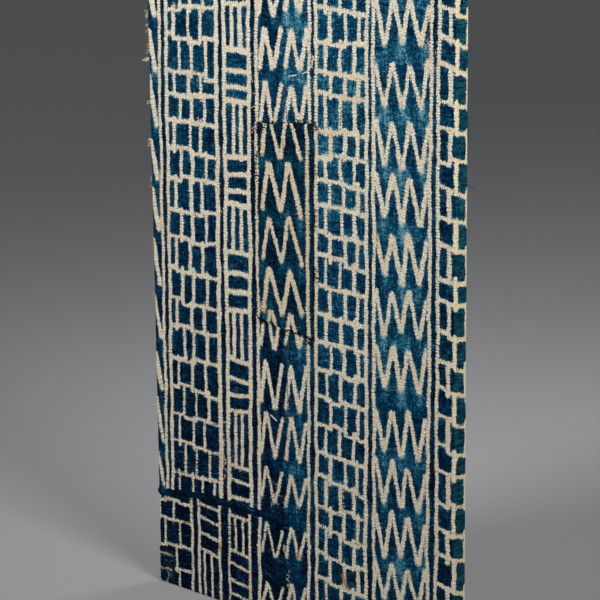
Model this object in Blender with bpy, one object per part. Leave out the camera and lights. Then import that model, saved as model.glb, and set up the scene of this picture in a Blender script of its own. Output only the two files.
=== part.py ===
"""Ndop cloth stretched round a plain wooden frame, standing on its lower edge.

The cloth is one sheet: it covers the front, turns over the four sides and ends as a
margin on the back, like a shallow tray that holds the frame. A tuck crosses its lower
left, a darker patch is sewn over its third column, and a small one wraps its lower left
corner. Metres, +Z up. The front faces -Y, and the origin is on the surface that the
panel stands on, below its middle.
"""

import math

import bmesh
import bpy

# The panel, measured over its cloth
PANEL_WIDTH = 0.500
PANEL_HEIGHT = 0.850
PANEL_DEPTH = 0.019
CLOTH = 0.0016
FOLD_RADIUS = 0.0020
BACK_MARGIN = 0.024
MARGIN_WANDER = 0.0025

# The cloth's relief, all of it outwards, so that the frame keeps its room inside
FRONT_WAVE = 0.0006
SIDE_WAVE = 0.0010

# The tuck: a fold of cloth that lies across the lower left, from the left side to a seam
TUCK_HEIGHT = 0.0022
TUCK_HALF_WIDTH = 0.0055
TUCK_LEFT_Z = 0.1230
TUCK_RIGHT_Z = 0.1310
TUCK_LENGTH = 0.2350
TUCK_END = 0.0300

# The patch over the third column, as heights of its four corners
PATCH_LEFT = 0.188
PATCH_RIGHT = 0.283
PATCH_TOP = (0.607, 0.612)
PATCH_BOTTOM = (0.373, 0.361)
PATCH_THICKNESS = 0.0013
PATCH_WANDER = 0.0012

# The patch that wraps the lower left corner
CORNER_FRONT = 0.027
CORNER_SIDE = 0.014
CORNER_TOP = 0.046
CORNER_BOTTOM = 0.003
CORNER_THICKNESS = 0.0011

# The frame: four flat bars, butted at the corners
BAR_WIDTH = 0.040
BAR_EDGE = 0.0012
SEAT = 0.0004

# How finely the cloth's points are set
STEP_ACROSS = 0.026
STEP_UP = 0.030

# The tuck stands proud of the front, so the box's middle lies in front of the panel's
FRONT = (TUCK_HEIGHT - PANEL_DEPTH) / 2
BACK = FRONT + PANEL_DEPTH
HALF_WIDTH = PANEL_WIDTH / 2


def clear_scene():
    for old in list(bpy.data.objects):
        bpy.data.objects.remove(old, do_unlink=True)


def material(name, colour, roughness):
    made = bpy.data.materials.new(name)
    made.use_nodes = True
    shader = made.node_tree.nodes["Principled BSDF"]
    shader.inputs["Base Color"].default_value = (*colour, 1.0)
    shader.inputs["Roughness"].default_value = roughness
    shader.inputs["Metallic"].default_value = 0.0
    return made


def put(name, shape, finish):
    """A named object from a bmesh, with its faces turned out and its own material."""
    bmesh.ops.recalc_face_normals(shape, faces=shape.faces)
    mesh = bpy.data.meshes.new(name)
    shape.to_mesh(mesh)
    shape.free()
    mesh.materials.append(finish)
    piece = bpy.data.objects.new(name, mesh)
    bpy.context.scene.collection.objects.link(piece)
    return piece


def smooth(amount):
    """0 below 0, 1 above 1, and a soft slope between."""
    amount = min(max(amount, 0.0), 1.0)
    return amount * amount * (3 - 2 * amount)


def evenly(start, stop, step):
    """Stations from start to stop, the ends included, at most a step apart."""
    count = max(1, math.ceil((stop - start) / step - 1e-9))
    return [start + (stop - start) * i / count for i in range(count + 1)]


def wave(across, up):
    """0 to 1: the slow, uneven rise and fall of cloth that was stretched by hand."""
    ripple = (
        math.sin(across / 0.061 + 1.3 * math.sin(up / 0.17))
        + math.sin(up / 0.083 + 0.9 + 1.1 * math.sin(across / 0.11))
        + math.sin((across - up) / 0.047 + 2.0)
    )
    return 0.5 + ripple / 6


def tuck_height(across):
    """Where the tuck's crest lies, this far from the left side."""
    share = min(max(across / TUCK_LENGTH, 0.0), 1.0)
    return TUCK_LEFT_Z + (TUCK_RIGHT_Z - TUCK_LEFT_Z) * share


def tuck(across, up):
    """How proud the tuck stands here."""
    off = abs(up - tuck_height(across)) / TUCK_HALF_WIDTH
    fade = 1 - smooth((across - TUCK_LENGTH + TUCK_END) / TUCK_END)
    return TUCK_HEIGHT * fade * smooth(1.25 * (1 - off))


def front_relief(x, z):
    """How far the front stands out here. It is flat at the folds and the corner patch."""
    across = x + HALF_WIDTH
    past_patch = max(across - CORNER_FRONT, z - CORNER_TOP)
    rim = min(across, PANEL_WIDTH - across, z, PANEL_HEIGHT - z, past_patch)
    flat = smooth(rim / 0.03)
    return max(FRONT_WAVE * flat * wave(across, z), tuck(across, z))


def side_relief(x, z):
    """How far a side stands out here. Both ends are flat, past the corner patch."""
    ends = smooth((min(z, PANEL_HEIGHT - z) - CORNER_TOP) / 0.03)
    beat = wave(0.3 if x > 0 else 0.0, 2.1 * z)
    raised = SIDE_WAVE * ends * beat
    if x < 0:
        raised = max(raised, 0.5 * tuck(0.0, z))
    return raised


def rounded(point):
    """A point of the plain box, and its direction out, with the box's edges rounded."""
    low = (-HALF_WIDTH, FRONT, 0.0)
    high = (HALF_WIDTH, BACK, PANEL_HEIGHT)
    inner = [
        min(max(p, a + FOLD_RADIUS), b - FOLD_RADIUS)
        for p, a, b in zip(point, low, high)
    ]
    out = [p - q for p, q in zip(point, inner)]
    length = math.sqrt(sum(o * o for o in out))
    out = [o / length for o in out]
    return [q + FOLD_RADIUS * o for q, o in zip(inner, out)], out


def on_cloth(point):
    """A point of the plain box, moved to where the cloth's outer face is."""
    (x, y, z), (out_x, out_y, _) = rounded(point)
    if out_y < -0.1:
        y += out_y * front_relief(x, z)
    if abs(out_x) > 0.1:
        x += out_x * side_relief(x, z)
    return x, y, z


def across_stations():
    inner = evenly(
        -HALF_WIDTH + BACK_MARGIN, HALF_WIDTH - BACK_MARGIN, STEP_ACROSS
    )
    turned = [HALF_WIDTH, HALF_WIDTH - FOLD_RADIUS]
    return [-x for x in turned] + inner + turned[::-1]


def up_stations():
    """Heights of the cloth's points, closer together at the tuck."""
    middle = (TUCK_LEFT_Z + TUCK_RIGHT_Z) / 2
    reach = 2 * TUCK_HALF_WIDTH
    below = evenly(BACK_MARGIN, middle - reach, STEP_UP)
    crest = [middle - TUCK_HALF_WIDTH, middle - TUCK_HALF_WIDTH / 2, middle]
    crest += [middle + TUCK_HALF_WIDTH / 2, middle + TUCK_HALF_WIDTH]
    above = evenly(middle + reach, PANEL_HEIGHT - BACK_MARGIN, STEP_UP)
    low = [0.0, FOLD_RADIUS]
    high = [PANEL_HEIGHT - FOLD_RADIUS, PANEL_HEIGHT]
    return low + below + crest + above + high


def follow_tuck(x, z):
    """Rows of points near the tuck slope with it."""
    middle = (TUCK_LEFT_Z + TUCK_RIGHT_Z) / 2
    near = 1 - smooth(abs(z - middle) / 0.06)
    return z + near * (tuck_height(x + HALF_WIDTH) - middle)


def ragged_margin(x, z):
    """Moves a point of the back's cut edge within the back, as hand-cut cloth runs."""
    inner_x = HALF_WIDTH - BACK_MARGIN
    low, high = BACK_MARGIN, PANEL_HEIGHT - BACK_MARGIN
    if abs(abs(x) - inner_x) < 1e-6 and low <= z <= high:
        x += math.copysign(MARGIN_WANDER * math.sin(z / 0.041 + x), x)
    elif abs(z - low) < 1e-6 or abs(z - high) < 1e-6:
        z += MARGIN_WANDER * math.sin(x / 0.037 + z)
    return x, z


def box_faces(xs, ys, zs):
    """Each small face of the box's surface, as four grid corners, less the back's hole."""
    inner_x = HALF_WIDTH - BACK_MARGIN + 1e-6
    low, high = BACK_MARGIN - 1e-6, PANEL_HEIGHT - BACK_MARGIN + 1e-6
    for i in range(len(xs) - 1):
        for k in range(len(zs) - 1):
            quad = [(i, k), (i + 1, k), (i + 1, k + 1), (i, k + 1)]
            yield [(xs[a], ys[0], zs[b]) for a, b in quad]
            hole = -inner_x < xs[i] and xs[i + 1] < inner_x
            hole = hole and low < zs[k] and zs[k + 1] < high
            if not hole:
                yield [(xs[a], ys[-1], zs[b]) for a, b in quad[::-1]]
    for j in range(len(ys) - 1):
        for k in range(len(zs) - 1):
            quad = [(j, k), (j + 1, k), (j + 1, k + 1), (j, k + 1)]
            yield [(xs[-1], ys[a], zs[b]) for a, b in quad]
            yield [(xs[0], ys[a], zs[b]) for a, b in quad[::-1]]
        for i in range(len(xs) - 1):
            quad = [(i, j), (i + 1, j), (i + 1, j + 1), (i, j + 1)]
            yield [(xs[a], ys[b], zs[0]) for a, b in quad[::-1]]
            yield [(xs[a], ys[b], zs[-1]) for a, b in quad]


def make_cloth(finish):
    """The sheet's outer face over the whole tray, thickened inwards."""
    xs, zs = across_stations(), up_stations()
    ys = [FRONT, FRONT + FOLD_RADIUS, BACK - FOLD_RADIUS, BACK]
    shape = bmesh.new()
    made = {}

    def corner(point):
        key = tuple(round(p, 6) for p in point)
        if key not in made:
            x, y, z = point
            if y == BACK:
                x, z = ragged_margin(x, z)
            else:
                z = follow_tuck(x, z)
            made[key] = shape.verts.new(on_cloth((x, y, z)))
        return made[key]

    for quad in box_faces(xs, ys, zs):
        shape.faces.new([corner(point) for point in quad])
    piece = put("cloth", shape, finish)
    thick = piece.modifiers.new("cloth thickness", "SOLIDIFY")
    thick.thickness = CLOTH
    thick.offset = -1.0
    thick.use_even_offset = True
    piece.data.shade_smooth()
    return piece


def slab(name, outer, thickness, finish):
    """A closed sheet from rows of outer points and their directions out."""
    shape = bmesh.new()
    faces = []
    for depth in (0.0, thickness):
        faces.append(
            [
                [
                    shape.verts.new([p - depth * o for p, o in zip(point, out)])
                    for point, out in row
                ]
                for row in outer
            ]
        )
    top, under = faces
    rows, columns = len(top), len(top[0])
    for r in range(rows - 1):
        for c in range(columns - 1):
            for sheet in (top, under):
                shape.faces.new(
                    [
                        sheet[r][c],
                        sheet[r][c + 1],
                        sheet[r + 1][c + 1],
                        sheet[r + 1][c],
                    ]
                )
    rim = [(0, c) for c in range(columns)]
    rim += [(r, columns - 1) for r in range(1, rows)]
    rim += [(rows - 1, c) for c in range(columns - 2, -1, -1)]
    rim += [(r, 0) for r in range(rows - 2, 0, -1)]
    for (r, c), (s, d) in zip(rim, rim[1:] + rim[:1]):
        shape.faces.new([top[r][c], top[s][d], under[s][d], under[r][c]])
    return put(name, shape, finish)


def make_repair_patch(finish):
    """A four-sided patch with hand-cut edges, lying on the cloth's waves."""
    rows = []
    width = PATCH_RIGHT - PATCH_LEFT
    height = PATCH_TOP[0] - PATCH_BOTTOM[0]
    lines = evenly(0.0, 1.0, 0.022 / height)
    for up in lines:
        row = []
        for side in evenly(0.0, 1.0, 0.020 / width):
            bottom = PATCH_BOTTOM[0] + (PATCH_BOTTOM[1] - PATCH_BOTTOM[0]) * side
            top = PATCH_TOP[0] + (PATCH_TOP[1] - PATCH_TOP[0]) * side
            z = bottom + (top - bottom) * up
            x = PATCH_LEFT + width * side - HALF_WIDTH
            if side in (0.0, 1.0):
                x += PATCH_WANDER * math.sin(z / 0.019 + 2 * side)
            if up in (0.0, 1.0):
                z += PATCH_WANDER * math.sin(x / 0.013 + up)
            y = FRONT - front_relief(x, z) - SEAT - PATCH_THICKNESS
            row.append(((x, y, z), (0.0, -1.0, 0.0)))
        rows.append(row)
    return slab("repair_patch", rows, PATCH_THICKNESS, finish)


def make_corner_patch(finish):
    """A strip bent round the left fold: from the front, round the edge, onto the side."""
    reach = FOLD_RADIUS + SEAT + CORNER_THICKNESS
    centre_x, centre_y = -HALF_WIDTH + FOLD_RADIUS, FRONT + FOLD_RADIUS
    path = []
    for x in evenly(-HALF_WIDTH + CORNER_FRONT, centre_x, 0.014):
        path.append((x, centre_y - reach, 0.0, -1.0))
    for turn in (30, 60):
        east, north = math.sin(math.radians(turn)), math.cos(math.radians(turn))
        path.append((centre_x - reach * east, centre_y - reach * north, -east, -north))
    path.append((centre_x - reach, centre_y, -1.0, 0.0))
    path.append((centre_x - reach, FRONT + CORNER_SIDE, -1.0, 0.0))
    rows = []
    for z in evenly(CORNER_BOTTOM, CORNER_TOP, 0.022):
        rows.append([((x, y, z), (out_x, out_y, 0.0)) for x, y, out_x, out_y in path])
    return slab("corner_patch", rows, CORNER_THICKNESS, finish)


def make_bar(name, low, high, finish):
    """A flat wooden bar between two corners, its edges eased."""
    shape = bmesh.new()
    bmesh.ops.create_cube(shape, size=1.0)
    for vert in shape.verts:
        for axis in range(3):
            share = vert.co[axis] + 0.5
            vert.co[axis] = low[axis] + (high[axis] - low[axis]) * share
    piece = put(name, shape, finish)
    eased = piece.modifiers.new("eased edges", "BEVEL")
    eased.width = BAR_EDGE
    eased.segments = 1
    return piece


def make_frame(finish):
    inset = CLOTH + SEAT
    left, right = -HALF_WIDTH + inset, HALF_WIDTH - inset
    front, back = FRONT + inset, BACK - inset
    floor, top = inset, PANEL_HEIGHT - inset
    make_bar("stile_left", (left, front, floor), (left + BAR_WIDTH, back, top), finish)
    make_bar("stile_right", (right - BAR_WIDTH, front, floor), (right, back, top), finish)
    start, end = left + BAR_WIDTH + SEAT, right - BAR_WIDTH - SEAT
    make_bar("rail_bottom", (start, front, floor), (end, back, floor + BAR_WIDTH), finish)
    make_bar("rail_top", (start, front, top - BAR_WIDTH), (end, back, top), finish)


clear_scene()
make_cloth(material("indigo resist-dyed cotton", (0.012, 0.075, 0.16), 0.92))
make_repair_patch(material("darker indigo patch", (0.006, 0.035, 0.09), 0.92))
make_corner_patch(material("faded indigo patch", (0.015, 0.095, 0.15), 0.92))
make_frame(material("bare softwood", (0.55, 0.38, 0.22), 0.65))
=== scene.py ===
import math
import random

import bmesh
import bpy
import numpy as np
from mathutils import Matrix, Vector


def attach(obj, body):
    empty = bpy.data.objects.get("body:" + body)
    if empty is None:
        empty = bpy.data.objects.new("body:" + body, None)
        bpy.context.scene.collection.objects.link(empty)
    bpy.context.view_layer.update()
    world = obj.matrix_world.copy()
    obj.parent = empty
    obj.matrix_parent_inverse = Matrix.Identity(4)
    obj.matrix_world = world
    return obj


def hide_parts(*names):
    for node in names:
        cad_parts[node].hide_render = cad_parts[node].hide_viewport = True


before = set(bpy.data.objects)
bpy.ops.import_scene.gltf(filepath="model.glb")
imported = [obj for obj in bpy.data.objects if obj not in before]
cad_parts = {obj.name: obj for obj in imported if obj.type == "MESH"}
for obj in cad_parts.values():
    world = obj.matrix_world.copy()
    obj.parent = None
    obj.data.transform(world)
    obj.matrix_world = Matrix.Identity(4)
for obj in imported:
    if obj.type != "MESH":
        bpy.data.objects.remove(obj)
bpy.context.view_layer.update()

# The camera stands to the front's right and looks a little down, with a long lens. The
# panel's left side is farther away, and its right side just shows.
EYE_DISTANCE = 2.530
EYE_HEIGHT = 0.9347
EYE_TURN = math.radians(45.825)
EYE_DIP = math.radians(11.859)
EYE_ROLL = math.radians(-0.604)
IMAGE_SIDE = 600
FOCAL_PIXELS = 2216.7
MIDDLE_PIXEL = 294.3
FRONT_PLANE = -0.0084

ahead = Vector((-math.sin(EYE_TURN), math.cos(EYE_TURN), 0.0)) * math.cos(EYE_DIP)
ahead.z = -math.sin(EYE_DIP)
level_right = Vector((math.cos(EYE_TURN), math.sin(EYE_TURN), 0.0))
level_up = level_right.cross(ahead)
eye_right = level_right * math.cos(EYE_ROLL) + level_up * math.sin(EYE_ROLL)
eye_up = level_up * math.cos(EYE_ROLL) - level_right * math.sin(EYE_ROLL)
eye = Vector((math.sin(EYE_TURN), -math.cos(EYE_TURN), 0.0)) * EYE_DISTANCE
eye += Vector((0.0, FRONT_PLANE, EYE_HEIGHT))
camera_data = bpy.data.cameras.new("camera")
camera = bpy.data.objects.new("camera", camera_data)
camera_data.lens = FOCAL_PIXELS / IMAGE_SIDE * camera_data.sensor_width
camera_data.shift_x = 0.5 - MIDDLE_PIXEL / IMAGE_SIDE
camera.matrix_world = Matrix.Translation(eye) @ Matrix(
    [
        [eye_right[row], eye_up[row], -ahead[row]]
        for row in range(3)
    ]
).to_4x4()
bpy.context.scene.collection.objects.link(camera)
bpy.context.scene.camera = camera

# The floor is one plain pale sheet, wide enough to fill the view up to its far edge. A
# large soft light stands high in front of the panel, and weaker ones at its right and
# behind it.
FLOOR_REACH = 26.0
FLOOR_COLOUR = (0.35, 0.35, 0.355, 1.0)
SKY_COLOUR = (0.80, 0.82, 0.85, 1.0)
SKY_STRENGTH = 0.22
LAMP_SPREAD = math.radians(56)
LIGHTS = (
    # name, place, aimed at, side, watts
    ("high soft light", (-0.60, -2.50, 2.70), (-0.25, 0.0, 1.27), 1.40, 13.2),
    ("right side light", (2.50, -0.60, 1.90), (0.25, 0.0, 1.00), 1.00, 9.4),
    ("weak light behind", (0.40, 3.20, 2.20), (0.0, 0.0, 0.60), 1.20, 4.2),
)

floor_mesh = bpy.data.meshes.new("floor")
floor_shape = bmesh.new()
bmesh.ops.create_circle(floor_shape, cap_ends=True, segments=64, radius=FLOOR_REACH)
floor_shape.to_mesh(floor_mesh)
floor_shape.free()
floor = bpy.data.objects.new("floor", floor_mesh)
bpy.context.scene.collection.objects.link(floor)
floor_finish = bpy.data.materials.new("pale floor")
floor_finish.use_nodes = True
floor_shader = floor_finish.node_tree.nodes["Principled BSDF"]
floor_shader.inputs["Base Color"].default_value = FLOOR_COLOUR
floor_shader.inputs["Roughness"].default_value = 0.85
floor_mesh.materials.append(floor_finish)

for name, place, target, side, watts in LIGHTS:
    lamp_data = bpy.data.lights.new(name, "AREA")
    lamp_data.size = side
    lamp_data.energy = watts
    lamp_data.spread = LAMP_SPREAD
    lamp = bpy.data.objects.new(name, lamp_data)
    aim = (Vector(target) - Vector(place)).to_track_quat("-Z", "Y")
    lamp.matrix_world = Matrix.Translation(place) @ aim.to_matrix().to_4x4()
    bpy.context.scene.collection.objects.link(lamp)
sky = bpy.data.worlds.new("soft room")
sky.use_nodes = True
sky.node_tree.nodes["Background"].inputs["Color"].default_value = SKY_COLOUR
sky.node_tree.nodes["Background"].inputs["Strength"].default_value = SKY_STRENGTH
bpy.context.scene.world = sky
bpy.context.scene.view_settings.view_transform = "Standard"

# The cloth's shape: one sheet of hand-woven cotton strips, stretched over the frame and
# turned round all four of its sides, with a cut margin on the back. It is pulled tight
# but by hand, so it rises and falls a little, and a tuck crosses its lower left.
MM = 0.001
WIDTH = 0.500
HEIGHT = 0.850
DEPTH = 0.019
HALF_WIDTH = WIDTH / 2
FRONT = FRONT_PLANE
BACK = FRONT + DEPTH
THICKNESS = 0.0015
FOLD_RADIUS = 0.0020
BACK_MARGIN = 0.024
MARGIN_WANDER = 0.0025
FINE_STEP = 0.00265
SIDE_STEP = 0.0035
TOUCHING = 1e-6
FRONT_WAVE = 0.0006
SIDE_WAVE = 0.0010
TUCK_HEIGHT = 0.0022
TUCK_HALF_WIDTH = 0.0055
TUCK_LEFT_Z = 0.1205
TUCK_RIGHT_Z = 0.1305
TUCK_RISE = 0.0900
TUCK_LENGTH = 0.2350
TUCK_END = 0.0300
CORNER_FRONT = 0.027
CORNER_TOP = 0.046
STRIP_WIDTH = 0.0455
SEAM_HEIGHT = 0.00035
SEAM_HALF_WIDTH = 0.0016
SLACK_HEIGHT = 0.00009
FLAT_RIM = 0.03


def smooth(amount):
    """0 below 0, 1 above 1, and a soft slope between."""
    amount = np.clip(amount, 0.0, 1.0)
    return amount * amount * (3 - 2 * amount)


def wave(across, up):
    """0 to 1: the slow, uneven rise and fall of cloth that was stretched by hand."""
    ripple = (
        np.sin(across / 0.061 + 1.3 * np.sin(up / 0.17))
        + np.sin(up / 0.083 + 0.9 + 1.1 * np.sin(across / 0.11))
        + np.sin((across - up) / 0.047 + 2.0)
    )
    return 0.5 + ripple / 6


def tuck_height(across):
    """Where the tuck's crest lies, this far from the left side."""
    return TUCK_LEFT_Z + (TUCK_RIGHT_Z - TUCK_LEFT_Z) * smooth(across / TUCK_RISE)


def tuck(across, up):
    """How proud the tuck stands here: steep below its crest, where the fold lies over."""
    off = (up - tuck_height(across)) / TUCK_HALF_WIDTH
    lap = np.where(off > 0, off, -1.6 * off)
    fade = 1 - smooth((across - TUCK_LENGTH + TUCK_END) / TUCK_END)
    return TUCK_HEIGHT * fade * smooth(1.25 * (1 - lap))


def front_relief(x, z):
    """How far the front stands out here. It is flat at the folds and the corner patch."""
    across = x + HALF_WIDTH
    past_patch = np.maximum(across - CORNER_FRONT, z - CORNER_TOP)
    rim = np.minimum.reduce([across, WIDTH - across, z, HEIGHT - z, past_patch])
    flat = smooth(rim / FLAT_RIM)
    return np.maximum(FRONT_WAVE * flat * wave(across, z), tuck(across, z))


def side_relief(x, z):
    """How far a side stands out here. Both ends are flat, past the corner patch."""
    ends = smooth((np.minimum(z, HEIGHT - z) - CORNER_TOP) / FLAT_RIM)
    raised = SIDE_WAVE * ends * wave(np.where(x > 0, 0.3, 0.0), 2.1 * z)
    return np.where(x < 0, np.maximum(raised, 0.5 * tuck(0.0 * x, z)), raised)


def puckers(across, up):
    """The finer unevenness of the cloth: raised seams between strips, and slack threads."""
    from_seam = np.abs((across / STRIP_WIDTH + 0.21) % 1.0 - 0.5) * STRIP_WIDTH
    seam = SEAM_HEIGHT * (1 - smooth(from_seam / SEAM_HALF_WIDTH))
    seam = seam * (0.75 + 0.25 * np.sin(up / 0.0021 + 9 * np.sin(up / 0.031)))
    slack = np.sin(across / 0.0043 + 2.2 * np.sin(up / 0.019)) * np.sin(up / 0.0061)
    slack = slack + np.sin(up / 0.0037 + 1.7 * np.sin(across / 0.013))
    return seam + SLACK_HEIGHT * (2 + slack)


def evenly(start, stop, step):
    """Stations from start to stop, an even number of steps, each about this long."""
    count = 2 * max(1, round((stop - start) / step / 2))
    return [start + (stop - start) * i / count for i in range(count + 1)]


def stations(low, high, margin):
    """Stations over one side of the box: dense at both folds, even between."""
    turn = [0.0, FOLD_RADIUS * (1 - math.tan(math.radians(22.5)))]
    if margin:
        inner = evenly(FOLD_RADIUS, margin, FINE_STEP)
        middle = evenly(low + margin, high - margin, FINE_STEP)[1:-1]
    else:
        inner = [FOLD_RADIUS]
        middle = evenly(low + FOLD_RADIUS, high - FOLD_RADIUS, SIDE_STEP)[1:-1]
    start = turn + inner
    return [low + s for s in start] + middle + [high - s for s in reversed(start)]


def rounded(points, radius):
    """Points of the plain box with its edges rounded, and the directions out."""
    low = np.array((-HALF_WIDTH, FRONT, 0.0)) + FOLD_RADIUS
    high = np.array((HALF_WIDTH, BACK, HEIGHT)) - FOLD_RADIUS
    inner = np.clip(points, low, high)
    out = points - inner
    out /= np.linalg.norm(out, axis=1)[:, None]
    return inner + radius * out, out


def laid_flat(points):
    """Where each point of the plain box lies on the cloth before it is folded."""
    x, y, z = points.T
    deep = y - FRONT
    across, up = x + HALF_WIDTH, z.copy()
    on_back = deep > DEPTH - TOUCHING
    from_edges = np.stack([x + HALF_WIDTH, HALF_WIDTH - x, z, HEIGHT - z])
    nearest = np.argmin(from_edges, axis=0)
    turned = deep > TOUCHING
    beyond = deep + np.where(on_back, from_edges.min(axis=0), 0.0)
    across = np.where(turned & (nearest == 0), -beyond, across)
    across = np.where(turned & (nearest == 1), WIDTH + beyond, across)
    up = np.where(turned & (nearest == 2), -beyond, up)
    up = np.where(turned & (nearest == 3), HEIGHT + beyond, up)
    return across, up


def squares(wide, high):
    """The four corners of each square of a grid, in order round the square."""
    for i in range(wide - 1):
        for k in range(high - 1):
            yield [(i, k), (i + 1, k), (i + 1, k + 1), (i, k + 1)]


def box_faces(nx, ny, nz, hole_x, hole_z):
    """Each small face of the box's surface as grid corners, less the back's hole."""
    for quad in squares(nx, nz):
        i, k = quad[0]
        yield [(a, 0, b) for a, b in quad]
        if not (hole_x[0] <= i < hole_x[1] and hole_z[0] <= k < hole_z[1]):
            yield [(a, ny - 1, b) for a, b in reversed(quad)]
    for quad in squares(ny, nz):
        yield [(nx - 1, a, b) for a, b in quad]
        yield [(0, a, b) for a, b in reversed(quad)]
    for quad in squares(nx, ny):
        yield [(a, b, 0) for a, b in reversed(quad)]
        yield [(a, b, nz - 1) for a, b in quad]


def closest(places, target):
    """Which of the places lies closest to the target."""
    return min(range(len(places)), key=lambda i: abs(places[i] - target))


def tray(xs, ys, zs):
    """The plain box's points and faces, by grid corner, open at the back's middle."""
    edge_x, edge_z = HALF_WIDTH - BACK_MARGIN, BACK_MARGIN
    hole_x = [closest(xs, x) for x in (-edge_x, edge_x)]
    hole_z = [closest(zs, z) for z in (edge_z, HEIGHT - edge_z)]
    number, corners, faces = {}, [], []
    for quad in box_faces(len(xs), len(ys), len(zs), hole_x, hole_z):
        face = []
        for key in quad:
            if key not in number:
                number[key] = len(corners)
                corners.append((xs[key[0]], ys[key[1]], zs[key[2]]))
            face.append(number[key])
        faces.append(face)
    rim = [(i, hole_z[0]) for i in range(hole_x[0], hole_x[1])]
    rim += [(hole_x[1], k) for k in range(hole_z[0], hole_z[1])]
    rim += [(i, hole_z[1]) for i in range(hole_x[1], hole_x[0], -1)]
    rim += [(hole_x[0], k) for k in range(hole_z[1], hole_z[0], -1)]
    return np.array(corners), faces, [number[(i, len(ys) - 1, k)] for i, k in rim]


def hand_cut(points, rim):
    """The back's cut edge wanders, as scissors do."""
    moved = points.copy()
    x, z = points[rim, 0], points[rim, 2]
    at_side = np.abs(np.abs(x) - (HALF_WIDTH - BACK_MARGIN)) < TOUCHING
    moved[rim, 0] += np.where(at_side, np.sign(x) * MARGIN_WANDER * np.sin(z / 0.041 + x), 0)
    moved[rim, 2] += np.where(at_side, 0, MARGIN_WANDER * np.sin(x / 0.037 + z))
    return moved


fine = [
    stations(-HALF_WIDTH, HALF_WIDTH, BACK_MARGIN),
    stations(FRONT, BACK, 0.0),
    stations(0.0, HEIGHT, BACK_MARGIN),
]
coarse = [places[::2] for places in fine]
outer_plain, outer_faces, outer_rim = tray(*fine)
inner_plain, inner_faces, inner_rim = tray(*coarse)
outer_across, outer_up = laid_flat(outer_plain)
inner_across, inner_up = laid_flat(inner_plain)

outer_points, outer_out = rounded(hand_cut(outer_plain, outer_rim), FOLD_RADIUS)
proud = puckers(outer_across, outer_up)
facing = np.clip(-outer_out[:, 1], 0.0, 1.0)
sideways = np.abs(outer_out[:, 0])
proud += facing * front_relief(outer_points[:, 0], outer_points[:, 2])
proud += sideways * side_relief(outer_points[:, 0], outer_points[:, 2])
standing = outer_plain[:, 2] > FOLD_RADIUS
proud = np.where(standing | (facing > 0.99), proud, 0.0)
outer_points = outer_points + outer_out * proud[:, None]
inner_points, _ = rounded(hand_cut(inner_plain, inner_rim), FOLD_RADIUS - THICKNESS)

# The cloth's pattern: lines of stitched resist that kept the indigo off the cotton, in
# long columns of brick-like cells, ladders and zigzags. They are charted in millimetres
# across and up the flat cloth, by each column's rule, with the heights of its rows.
TOP = 850.0
CLOTH_FOOT = -46.0
CLOTH_HEAD = 896.0
LINE_REACH = 9.0
SHAKE_STEP = 8.0
BAR = 4.5
POST = 5.1
LEG = 5.5
HAND_SEED = 2711
hand = random.Random(HAND_SEED)
chart = []
blurs = []


def shake(size):
    """How far the hand strays, to either side, up to this much."""
    return hand.uniform(-size, size)


def line(width, *points):
    """Charts one line of the pattern."""
    chart.append((width, points))


def blur(across, up, wide, high, strength):
    """A place where dye seeped under the stitches and left a pale cloud."""
    blurs.append((across + shake(2), up + shake(3), wide, high, strength))


def column(left, right):
    """A column between two long lines, each given by its place at the head and the foot."""

    def at(share, up):
        high = up / TOP
        west = left[1] + (left[0] - left[1]) * high
        east = right[1] + (right[0] - right[1]) * high
        return west + (east - west) * share

    return at


def tuck_at(across):
    """How high the tuck crosses a line of the pattern, in millimetres."""
    return float(tuck_height(across * MM)) / MM


def borders(at, foot, head, *lines):
    """A column's long lines, each by its share and width. None for an end: the tuck."""
    for share, width in lines:
        meets_tuck = tuck_at(at(share, TUCK_LEFT_Z / MM))
        low = meets_tuck if foot is None else foot
        high = meets_tuck if head is None else head
        count = max(2, round((high - low) / 24))
        heights = [low + (high - low) * i / count for i in range(count + 1)]
        line(width, *[(at(share, up) + shake(1.3), up) for up in heights])


def fence(at, rows, posts, step=4.0, fall=4.0, width=POST):
    """Brick-like cells: a bar at each row, in pieces that step at the posts."""
    for k, up in enumerate(rows):
        breaks = [0.0, *posts[(k + 1) % 2], 1.0]
        level = shake(step)
        tilt = fall * hand.uniform(0.3, 1.3)
        for start, stop in zip(breaks, breaks[1:]):
            if hand.random() < 0.75:
                level = shake(step)
            begin = (at(start, up), up + level + tilt * (0.5 - start))
            end = (at(stop, up), up + level + tilt * (0.5 - stop) + shake(1.6))
            line(BAR + shake(0.7), begin, end)
        if k + 1 < len(rows):
            for share in posts[k % 2]:
                place = share + shake(0.018)
                top = (at(place, up), up + 1.0)
                foot = (at(place + shake(0.014), rows[k + 1]), rows[k + 1] - 1.0)
                line(width + shake(0.6), top, foot)


def ladder(at, bars, blocks, shares, heavy):
    """Bars across, and blocks of upright lines between some of them."""
    for up in bars:
        lift = shake(1.8)
        middle = (at(0.5, up), up + shake(1.4))
        line(BAR + heavy + shake(0.5), (at(0, up), up + lift), middle, (at(1, up), up - lift))
    for head, foot in blocks:
        for share in shares:
            place = share + shake(0.03)
            stop = (at(place + shake(0.03), foot), foot)
            line(POST + heavy + shake(0.8), (at(place, head), head), stop)


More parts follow.
